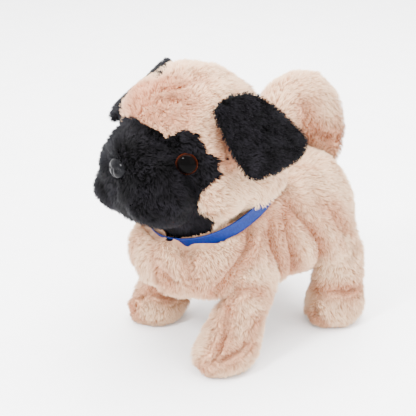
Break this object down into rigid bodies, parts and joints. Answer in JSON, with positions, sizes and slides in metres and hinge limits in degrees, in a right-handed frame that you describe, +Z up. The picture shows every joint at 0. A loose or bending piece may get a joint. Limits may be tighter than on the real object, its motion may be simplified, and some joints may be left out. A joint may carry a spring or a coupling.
{
  "type": "walking plush puppy",
  "caption": "Battery plush puppy on a gearbox that swings the legs, wags the tail and nods the head, with a ribbon collar, a belly switch and a battery door.",
  "frame": {"origin": "on the floor under the middle of the puppy", "axes": "+Z up, the puppy faces -Y, its own left side is +X"},
  "size_m": [0.1331, 0.1921, 0.203],
  "materials": {
    "plush_cream": "short curly plush",
    "plush_black": "short black plush",
    "stuffing": "polyester filling",
    "ribbon_blue": "satin ribbon",
    "face_plastic": "gloss",
    "washer_plastic": "moulded",
    "case_plastic": "moulded",
    "switch_plastic": "moulded",
    "gear_plastic": "moulded",
    "steel": "plated",
    "contact_metal": "nickel plated",
    "cell_jacket": "plain jacket",
    "board": "lacquered board"
  },
  "bodies": {
    "chassis": {"case_upper": "case_plastic", "case_lower": "case_plastic", "case_screws": "steel", "battery_left": "cell_jacket", "battery_right": "cell_jacket", "battery_contacts": "contact_metal", "battery_springs": "contact_metal", "power_switch": "case_plastic", "motor": "steel", "gearbox_plate": "case_plastic", "first_gear_shaft": "steel", "second_gear_shaft": "steel", "front_leg_axle": "steel", "rear_leg_axle": "steel", "axle_caps": "washer_plastic", "circuit_board": "board", "speaker": "switch_plastic", "microphone": "washer_plastic", "neck_pin": "steel", "body_plush": "plush_cream", "collar": "ribbon_blue"},
    "switch": {"switch_knob": "switch_plastic"},
    "door": {"battery_door": "case_plastic", "battery_door_screw": "steel"},
    "motor_drive": {"motor_pinion": "gear_plastic"},
    "first_wheel": {"first_gear": "gear_plastic"},
    "second_wheel": {"second_gear": "gear_plastic"},
    "crank": {"crankshaft": "steel", "output_gear": "gear_plastic", "crank_left": "gear_plastic", "crank_right": "gear_plastic", "neck_crank": "gear_plastic", "tail_cam": "gear_plastic"},
    "front_left_leg": {"leg_front_left": "case_plastic", "leg_plush_front_left": "plush_cream"},
    "front_right_leg": {"leg_front_right": "case_plastic", "leg_plush_front_right": "plush_cream"},
    "rear_left_leg": {"leg_rear_left": "case_plastic", "leg_plush_rear_left": "plush_cream"},
    "rear_right_leg": {"leg_rear_right": "case_plastic", "leg_plush_rear_right": "plush_cream"},
    "tail": {"tail_lever": "case_plastic", "tail_plush": "plush_cream"},
    "head": {"neck_lever": "case_plastic", "head_plush": "plush_cream", "head_stuffing": "stuffing", "muzzle_plush": "plush_black", "ear_left": "plush_black", "ear_right": "plush_black", "eye_left": "face_plastic", "eye_right": "face_plastic", "nose": "face_plastic", "face_washers": "washer_plastic"}
  },
  "joints": [
    {"name": "crank_spin", "type": "hinge", "parent": "chassis", "child": "crank", "pos_m": [0, 0.0235, 0.082], "axis": [1, 0, 0], "continuous": true},
    {"name": "second_gear_spin", "type": "hinge", "parent": "chassis", "child": "second_wheel", "pos_m": [0, 0.0051, 0.082], "axis": [1, 0, 0], "continuous": true},
    {"name": "first_gear_spin", "type": "hinge", "parent": "chassis", "child": "first_wheel", "pos_m": [0, -0.0101, 0.082], "axis": [1, 0, 0], "continuous": true},
    {"name": "motor_spin", "type": "hinge", "parent": "chassis", "child": "motor_drive", "pos_m": [0, -0.0253, 0.082], "axis": [1, 0, 0], "continuous": true},
    {"name": "front_left_leg_swing", "type": "hinge", "parent": "chassis", "child": "front_left_leg", "pos_m": [0, -0.016, 0.064], "axis": [1, 0, 0], "range_deg": [-7, 13]},
    {"name": "front_right_leg_swing", "type": "hinge", "parent": "chassis", "child": "front_right_leg", "pos_m": [0, -0.016, 0.064], "axis": [1, 0, 0], "range_deg": [-13, 7]},
    {"name": "rear_left_leg_swing", "type": "hinge", "parent": "chassis", "child": "rear_left_leg", "pos_m": [0, 0.063, 0.064], "axis": [1, 0, 0], "range_deg": [-13, 7]},
    {"name": "rear_right_leg_swing", "type": "hinge", "parent": "chassis", "child": "rear_right_leg", "pos_m": [0, 0.063, 0.064], "axis": [1, 0, 0], "range_deg": [-7, 13]},
    {"name": "tail_wag", "type": "hinge", "parent": "chassis", "child": "tail", "pos_m": [0, 0.0635, 0.0955], "axis": [0, 0, 1], "range_deg": [-12, 12]},
    {"name": "head_nod", "type": "hinge", "parent": "chassis", "child": "head", "pos_m": [0, -0.024, 0.12093], "axis": [1, 0, 0], "range_deg": [-3.7, 3.7]},
    {"name": "power_switch_slide", "type": "slide", "parent": "chassis", "child": "switch", "axis": [0, 1, 0], "range_m": [0, 0.003]},
    {"name": "battery_door_lift", "type": "slide", "parent": "chassis", "child": "door", "axis": [0, 0, -1], "range_m": [0, 0.02]}
  ],
  "couplings": [
    {"joint": "second_gear_spin", "follows": "crank_spin", "ratio": -3.6},
    {"joint": "first_gear_spin", "follows": "crank_spin", "ratio": 10.08},
    {"joint": "motor_spin", "follows": "crank_spin", "ratio": -28.224},
    {"joint": "front_right_leg_swing", "follows": "front_left_leg_swing", "ratio": -1},
    {"joint": "rear_left_leg_swing", "follows": "front_left_leg_swing", "ratio": -1},
    {"joint": "rear_right_leg_swing", "follows": "front_left_leg_swing", "ratio": 1}
  ]
}
